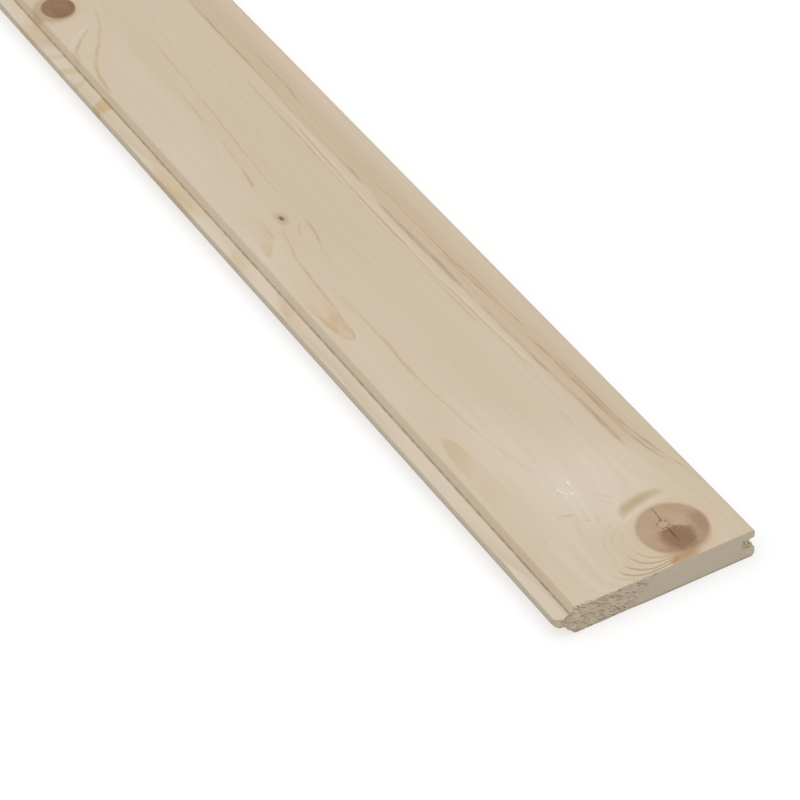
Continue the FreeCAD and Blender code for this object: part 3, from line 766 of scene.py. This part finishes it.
def grow(piece, tree, settings):
    """Runs a tree on a piece and gives back the plain mesh that it makes."""
    growth = piece.modifiers.new(tree.name, "NODES")
    growth.node_group = tree
    for item in tree.interface.items_tree:
        if item.in_out == "INPUT" and item.name in settings:
            growth[item.identifier] = settings[item.name]
    evaluated = piece.evaluated_get(bpy.context.evaluated_depsgraph_get())
    mesh = bpy.data.meshes.new_from_object(evaluated)
    piece.modifiers.remove(growth)
    return mesh


body = grow(board_wood, run_out, {
    "Rim corners": len(rim), "Rows": rows, "Length": board_length * millimetre, "Crowding": row_crowding,
    "Crowding power": row_power, "Planed": planed_spruce, "Sawn": sawn_spruce})
shape = bmesh.new()
shape.from_mesh(body)
bmesh.ops.recalc_face_normals(shape, faces=shape.faces)
shape.to_mesh(body)
shape.free()

# The relief that the saw and the drying left on it. Everything is cut into the wood: the
# rough end stands back from the clean one, its top corner is chipped away, and it is
# pitted. The face has the end knot's open check and a few spots of torn grain.
set_back = 0.34
chip_depth = 1.15
tongue_set_back = 0.6
crease_set_back = 1.1
broken_corner = 4.4
pit_count = 330
blend_length = 14.0
check_depth = 0.9
check_half_width = 0.42
grain_dents = [  # across, along, half its length, half its width, depth
    (-9.0, 75.6, 2.0, 1.2, 0.26), (-8.0, 71.5, 2.4, 1.6, 0.30), (-4.5, 69.6, 2.4, 1.5, 0.28), (-9.4, 68.4, 1.6, 1.2, 0.24),
    (-3.8, 73.0, 1.8, 1.2, 0.24), (-18.0, 73.5, 1.3, 0.9, 0.20), (-20.6, 57.9, 2.0, 1.3, 0.18),
    (-16.6, 57.0, 2.2, 1.2, 0.18), (-12.4, 55.5, 1.8, 1.2, 0.16), (-6.6, 79.5, 1.8, 1.1, 0.24),
    (-2.4, 77.5, 1.4, 0.9, 0.20), (-6.4, 65.6, 1.6, 0.9, 0.20),
]


def rise(value, low, high):
    """Runs smoothly from 0 to 1 as value goes from low to high."""
    share = np.clip((value - low) / (high - low), 0, 1)
    return share * share * (3 - 2 * share)


def pits(across, up, number, low, high):
    """Slanted pits strewn over a sawn end between two places across it, in millimetres."""
    depth = np.zeros(len(across))
    for _ in range(number):
        spot = chance.uniform(low, high), chance.uniform(0.3, board_thickness)
        slant = chance.normal(-fibre_slant, 0.2)
        long_half, short_half, deepest = chance.uniform(1.0, 3.2), chance.uniform(0.16, 0.30), chance.uniform(0.2, 0.6)
        into_rough = high - spot[0] - clean_slant * (board_thickness - spot[1])
        deepest *= rise(into_rough, 0.0, 10.0)
        aside, above = across - spot[0], up - spot[1]
        with_slant = aside * math.cos(slant) + above * math.sin(slant)
        over_slant = above * math.cos(slant) - aside * math.sin(slant)
        reach = (with_slant / long_half) ** 2 + (over_slant / short_half) ** 2
        depth = np.maximum(depth, deepest * np.clip(1 - reach, 0, 1))
    return depth


corners = np.empty(len(body.vertices) * 3)
body.vertices.foreach_get("co", corners)
corners = corners.reshape(-1, 3) / millimetre
across, along, up = corners[:, 0].copy(), corners[:, 1] + board_length / 2, corners[:, 2].copy()
at_near_end = along < rim_gap
at_far_end = along > board_length - rim_gap
torn = np.zeros(len(corners))
torn[at_near_end] = pits(across[at_near_end], up[at_near_end], pit_count, -57.5, 5.0)
torn[at_far_end] = 0.5 * pits(across[at_far_end], up[at_far_end], pit_count // 2, -59.0, 74.0)
stand_back = set_back * rise(across + clean_slant * (board_thickness - up), 8.0, -2.0)
stand_back += chip_depth * rise(across, -22.0, -46.0) * rise(up, 13.0, 18.0)
stand_back += tongue_set_back * rise(across, -44.0, -52.0)
stand_back += crease_set_back * rise(across, -47.5, -50.5) * rise(across, -54.5, -51.5) * rise(up, 9.5, 12.0)
stand_back += broken_corner * rise(across, -56.6, -60.4)
near_shift = stand_back * np.clip(1 - along / blend_length, 0, 1) ** 2 + np.where(at_near_end, torn, 0)
far_shift = np.where(at_far_end, torn, 0)
facts = knots["end knot"]
run = (along - facts["Along"]) / (facts["Radius"] * facts["Stretch"]) - facts["Heart along"]
aside = check_aside + check_jog * rise(run, -check_gap, check_gap)
aside += check_slant * rise(run, check_gap, check_end)
off = np.abs(across - facts["Across"] - facts["Radius"] * (facts["Heart across"] + aside))
in_reach = rise(run, check_start, check_start + 0.55) * rise(run, check_end, check_end - 0.12)
in_reach *= rise(np.abs(run), check_gap - 0.02, check_gap + 0.05)
on_face = up > board_thickness - rim_gap
sink = np.where(on_face, check_depth * np.clip(1 - off / check_half_width, 0, 1) * in_reach, 0)
for spot_across, spot_along, long_half, short_half, deepest in grain_dents:
    reach = ((along - spot_along) / long_half) ** 2 + ((across - spot_across) / short_half) ** 2
    sink = np.maximum(sink, np.where(on_face, deepest * np.clip(1 - reach, 0, 1), 0))
crumbled = chance.uniform(0.03, 0.24, len(corners)) * rise(across, 6.0, -6.0) * (up > board_thickness - 0.5)
sink += np.where(at_near_end, crumbled, 0)
corners[:, 1] += near_shift - far_shift
corners[:, 2] -= sink
body.vertices.foreach_set("co", (corners * millimetre).ravel())
mask = body.attributes.new("torn", "FLOAT", "POINT")
mask.data.foreach_set("value", np.clip(torn / 0.5, 0, 1))

# The torn fibres: splinters and fuzz that still hang on the wood where the saw and the
# planer tore it, on the rough end, along its edges, in the mouth of the groove and in the
# dents of the face. They are slivers of the same spruce, bleached or yellow-green.
torn_spruce, tree, shader = new_finish("torn_spruce", 0.7)
point = board_point(tree)
place = put(tree, "ShaderNodeSeparateXYZ", {0: point}).outputs
strands = grain_noise(tree, point, 0.5, 1.5, 0.5, detail=2.0)
wood = stain(tree, (0.72, 0.63, 0.50, 1.0), ease(tree, strands, 0.35, 0.7), (0.80, 0.75, 0.68))
in_groove = ease(tree, place[0], 49.0, 51.0)
mossy = stain(tree, (0.70, 0.61, 0.49, 1.0), ease(tree, place[0], 52.6, 55.0), (0.70, 0.63, 0.38), "MIX")
mossy = stain(tree, mossy, ease(tree, strands, 0.46, 0.60), (0.46, 0.41, 0.29))
wood = stain(tree, wood, in_groove, mossy, "MIX")
on_top = work_out(tree, "MULTIPLY", ease(tree, place[2], 16.4, 17.4), ease(tree, place[0], 6.0, 0.0))
wood = stain(tree, wood, work_out(tree, "MULTIPLY", on_top, 0.8), (0.82, 0.74, 0.61), "MIX")
wood = stain(tree, wood, ease(tree, place[1], 30.0, 45.0), (0.90, 0.84, 0.75), "MIX")
tree.links.new(wood, shader.inputs["Base Color"])

torn_fibres = bpy.data.node_groups.new("torn_fibres", "GeometryNodeTree")
torn_fibres.interface.new_socket("Bed", in_out="INPUT", socket_type="NodeSocketGeometry")
for title, kind in {"Density": "Float", "Shortest": "Float", "Longest": "Float", "Thickness": "Float",
                    "Breadth": "Float", "Curl": "Float", "Lean": "Vector", "Spread": "Float", "Seed": "Int",
                    "Wood": "Material"}.items():
    torn_fibres.interface.new_socket(title, in_out="INPUT", socket_type="NodeSocket" + kind)
torn_fibres.interface.new_socket("Fibres", in_out="OUTPUT", socket_type="NodeSocketGeometry")
given = torn_fibres.nodes.new("NodeGroupInput").outputs
roots = put(torn_fibres, "GeometryNodeDistributePointsOnFaces", {
    "Mesh": given["Bed"], "Density": given["Density"], "Seed": given["Seed"]}).outputs["Points"]
stem = put(torn_fibres, "GeometryNodeCurvePrimitiveLine", {"Start": (0.0, 0.0, -0.15), "End": (0.0, 0.0, 1.0)})
stem = put(torn_fibres, "GeometryNodeResampleCurve", {"Curve": stem.outputs[0], "Count": 4}).outputs[0]
share = put(torn_fibres, "GeometryNodeSplineParameter").outputs["Factor"]
curled = work_out(torn_fibres, "MULTIPLY", work_out(torn_fibres, "MULTIPLY", share, share), given["Curl"])
shift = put(torn_fibres, "ShaderNodeCombineXYZ", {0: curled}).outputs[0]
stem = put(torn_fibres, "GeometryNodeSetPosition", {"Geometry": stem, "Offset": shift}).outputs[0]
narrowing = work_out(torn_fibres, "SUBTRACT", 1.0, work_out(torn_fibres, "MULTIPLY", share, 0.85))
stem = put(torn_fibres, "GeometryNodeSetCurveRadius", {"Curve": stem, "Radius": narrowing}).outputs[0]
girth = put(torn_fibres, "GeometryNodeCurvePrimitiveCircle", {
    "Resolution": 3, "Radius": given["Thickness"]}).outputs["Curve"]
breadth = put(torn_fibres, "ShaderNodeCombineXYZ", {0: 1.0, 1: given["Breadth"], 2: 1.0}).outputs[0]
girth = put(torn_fibres, "GeometryNodeTransform", {"Geometry": girth, "Scale": breadth}).outputs[0]
sliver = put(torn_fibres, "GeometryNodeCurveToMesh", {
    "Curve": stem, "Profile Curve": girth, "Fill Caps": True}).outputs[0]
low = put(torn_fibres, "ShaderNodeVectorMath", {0: (-1.0, -1.0, -1.0), "Scale": given["Spread"]}, operation="SCALE")
high = put(torn_fibres, "ShaderNodeVectorMath", {0: (1.0, 1.0, 1.0), "Scale": given["Spread"]}, operation="SCALE")
stray = put(torn_fibres, "FunctionNodeRandomValue", {
    0: low.outputs[0], 1: high.outputs[0], "Seed": given["Seed"]}, data_type="FLOAT_VECTOR").outputs[0]
way = put(torn_fibres, "ShaderNodeVectorMath", {0: given["Lean"], 1: stray}, operation="ADD").outputs[0]
turn = put(torn_fibres, "FunctionNodeAlignRotationToVector", {"Vector": way}, axis="Z").outputs[0]
spin = put(torn_fibres, "FunctionNodeRandomValue", {
    2: 0.0, 3: 2 * math.pi, "Seed": work_out(torn_fibres, "ADD", given["Seed"], 1.0)}, data_type="FLOAT").outputs[1]
spin = put(torn_fibres, "FunctionNodeEulerToRotation", {
    0: put(torn_fibres, "ShaderNodeCombineXYZ", {2: spin}).outputs[0]}).outputs[0]
turn = put(torn_fibres, "FunctionNodeRotateRotation", {0: turn, 1: spin}, rotation_space="LOCAL").outputs[0]
length = put(torn_fibres, "FunctionNodeRandomValue", {
    2: given["Shortest"], 3: given["Longest"], "Seed": work_out(torn_fibres, "ADD", given["Seed"], 2.0)},
    data_type="FLOAT").outputs[1]
fibres = put(torn_fibres, "GeometryNodeInstanceOnPoints", {
    "Points": roots, "Instance": sliver, "Rotation": turn, "Scale": length}).outputs[0]
fibres = put(torn_fibres, "GeometryNodeRealizeInstances", {"Geometry": fibres}).outputs[0]
fibres = put(torn_fibres, "GeometryNodeSetMaterial", {"Geometry": fibres, "Material": given["Wood"]}).outputs[0]
torn_fibres.links.new(fibres, torn_fibres.nodes.new("NodeGroupOutput").inputs[0])


def bed(holds):
    """A copy of the board's faces whose middle (across, along, up) passes the test."""
    patch = bmesh.new()
    patch.from_mesh(body)
    middles = {plane: plane.calc_center_median() / millimetre for plane in patch.faces}
    outside = [plane for plane, m in middles.items() if not holds(m.x, m.y + board_length / 2, m.z)]
    bmesh.ops.delete(patch, geom=outside, context="FACES")
    mesh = bpy.data.meshes.new("fibre_bed")
    patch.to_mesh(mesh)
    patch.free()
    return mesh


def is_dent(across, along, up):
    """Whether a place on the face lies in one of its dents."""
    if up < board_thickness - 0.5 or along < 60.0:
        return False
    return any(abs(across - a) < w * 0.9 and abs(along - d) < n * 0.9 for a, d, n, w, _ in grain_dents)


per_square_mm = 1e6
sliver_corners = 12
fibre_growths = [
    (lambda x, d, z: -57.0 < x < 4.0 - clean_slant * (18.0 - z) and d < 2.8 and z < 17.6,
     {"Density": 0.6 * per_square_mm, "Shortest": 0.0009, "Longest": 0.0026, "Thickness": 0.07, "Breadth": 0.9,
      "Curl": 0.2, "Lean": (0.9, -0.10, -0.42), "Spread": 0.3, "Seed": 3}),
    (lambda x, d, z: -50.0 < x < 5.0 and d < 2.8 and z > 17.2,
     {"Density": 2.6 * per_square_mm, "Shortest": 0.0007, "Longest": 0.0017, "Thickness": 0.10, "Breadth": 1.3,
      "Curl": 0.2, "Lean": (0.35, -0.75, -0.05), "Spread": 0.35, "Seed": 11}),
    (lambda x, d, z: 51.4 < x < (54.0 if z > 11.0 else 56.4) and d < 2.0 and 6.0 < z < 12.9,
     {"Density": 20.0 * per_square_mm, "Shortest": 0.0014, "Longest": 0.0034, "Thickness": 0.055, "Breadth": 1.9,
      "Curl": 0.5, "Lean": (0.05, -0.25, 0.35), "Spread": 0.9, "Seed": 19}),
    (lambda x, d, z: d < 1.5 and z < 0.45,
     {"Density": 1.6 * per_square_mm, "Shortest": 0.0004, "Longest": 0.0010, "Thickness": 0.10, "Breadth": 1.0,
      "Curl": 0.2, "Lean": (0.5, -0.5, 0.3), "Spread": 0.5, "Seed": 29}),
    (is_dent,
     {"Density": 1.2 * per_square_mm, "Shortest": 0.0009, "Longest": 0.0021, "Thickness": 0.10, "Breadth": 2.2,
      "Curl": 0.15, "Lean": (-0.3, -0.9, 0.1), "Spread": 0.2, "Seed": 41}),
]
whole = bmesh.new()
whole.from_mesh(body)
body.materials.append(torn_spruce)
inside = 0.01 * millimetre
low_corner = [value + inside for value in board_low]
high_corner = [value - inside for value in board_high]
for holds, settings in fibre_growths:
    root = bpy.data.objects.new("fibre_bed", bed(holds))
    bpy.context.scene.collection.objects.link(root)
    fuzz = grow(root, torn_fibres, {**settings, "Wood": torn_spruce})
    fuzz_corners = np.empty(len(fuzz.vertices) * 3)
    fuzz.vertices.foreach_get("co", fuzz_corners)
    slivers = fuzz_corners.reshape(-1, sliver_corners, 3)
    slivers += np.maximum(low_corner - slivers.min(axis=1), 0)[:, None]
    slivers -= np.maximum(slivers.max(axis=1) - high_corner, 0)[:, None]
    fuzz.vertices.foreach_set("co", slivers.ravel())
    fuzz.polygons.foreach_set("material_index", [len(body.materials) - 1] * len(fuzz.polygons))
    whole.from_mesh(fuzz)
    bpy.data.objects.remove(root)
bmesh.ops.triangulate(whole, faces=[plane for plane in whole.faces if len(plane.verts) > 4])
whole.to_mesh(body)
whole.free()
body.name = "board_wood"
board_wood.data = body
body.shade_smooth()
body.set_sharp_from_angle(angle=math.radians(32))
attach(board_wood, "root")
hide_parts("board")

# The stage: a plain pale floor, one wide soft light above and behind, and an even pale
# room. The camera looks down along the board through a long lens.
floor_mesh = bpy.data.meshes.new("floor")
floor_half = 14.0
floor_mesh.from_pydata([(-floor_half, -floor_half, -0.0002), (floor_half, -floor_half, -0.0002),
                        (floor_half, floor_half, -0.0002), (-floor_half, floor_half, -0.0002)], [], [(0, 1, 2, 3)])
floor = bpy.data.objects.new("floor", floor_mesh)
bpy.context.scene.collection.objects.link(floor)
paper, tree, shader = new_finish("floor_paper", 0.9)
shader.inputs["Base Color"].default_value = (0.40, 0.40, 0.40, 1.0)
shader.inputs["Emission Color"].default_value = (1.0, 1.0, 1.0, 1.0)
shader.inputs["Emission Strength"].default_value = 0.595
floor_mesh.materials.append(paper)

room = bpy.data.worlds.new("pale_room")
room.use_nodes = True
room.node_tree.nodes["Background"].inputs["Color"].default_value = (1.0, 1.0, 1.0, 1.0)
room.node_tree.nodes["Background"].inputs["Strength"].default_value = 0.475
bpy.context.scene.world = room
lamp = bpy.data.lights.new("soft_light", "AREA")
lamp.shape = "SQUARE"
lamp.size = 4.0
lamp.energy = 72.0
soft_light = bpy.data.objects.new("soft_light", lamp)
soft_light.location = (-0.45, -0.9, 2.7)
soft_light.rotation_euler = (Vector((0.0, -0.6, 0.0)) - soft_light.location).to_track_quat("-Z", "Y").to_euler()
bpy.context.scene.collection.objects.link(soft_light)

camera_turn = math.radians(-31.143)
camera_rise = math.radians(41.493)
camera_distance = 1.8422
aim = Vector((-0.0427, -1.0245, 0.018))
towards = Vector((math.sin(camera_turn), -math.cos(camera_turn), math.tan(camera_rise))).normalized()
towards.x = -abs(towards.x)
lens = bpy.data.cameras.new("camera")
lens.sensor_width = 36.0
lens.lens = 159.12
camera = bpy.data.objects.new("camera", lens)
camera.location = aim + towards * camera_distance
camera.rotation_euler = (-towards).to_track_quat("-Z", "Y").to_euler()
bpy.context.scene.collection.objects.link(camera)
bpy.context.scene.camera = camera
bpy.context.scene.view_settings.view_transform = "Standard"
bpy.context.scene.view_settings.look = "None"
